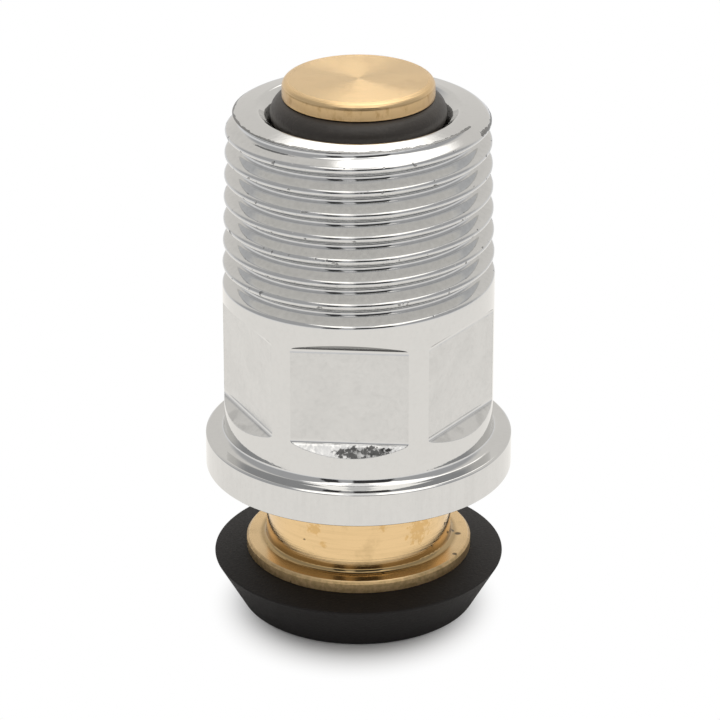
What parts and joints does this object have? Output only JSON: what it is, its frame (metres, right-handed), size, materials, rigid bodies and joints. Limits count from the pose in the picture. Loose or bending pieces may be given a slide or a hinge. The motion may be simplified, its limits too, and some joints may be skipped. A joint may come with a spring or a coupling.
{
  "type": "self-closing radiator valve tail",
  "caption": "Chrome radiator valve tail with taper pipe thread, spanner flats and union flange, and a sprung brass plunger with rubber cone seal that opens when coupled.",
  "frame": {"origin": "on the axis, at the plane the rubber cone seal stands on", "axes": "+Z along the axis towards the threaded end; one spanner flat faces -Y"},
  "size_m": [0.0242, 0.0242, 0.0441],
  "materials": {
    "chrome_plate": "bright chrome plate over turned brass",
    "sleeve_brass": "turned",
    "head_brass": "faced on a lathe",
    "ring_rubber": "matte",
    "cone_rubber": "matte, moulded",
    "spring_steel": "drawn wire"
  },
  "bodies": {
    "tail": {"tail_body": "chrome_plate", "return_spring": "spring_steel"},
    "plunger": {"plunger_sleeve": "sleeve_brass", "valve_head": "head_brass", "head_seal_ring": "ring_rubber", "sleeve_seal_ring": "ring_rubber", "cone_seal": "cone_rubber"}
  },
  "joints": [
    {"name": "plunger_slide", "type": "slide", "parent": "tail", "child": "plunger", "axis": [0, 0, 1], "range_m": [0, 0.0063], "stiffness_N_per_m": 780, "springref_m": -0.006, "deforming": ["return_spring"]}
  ]
}
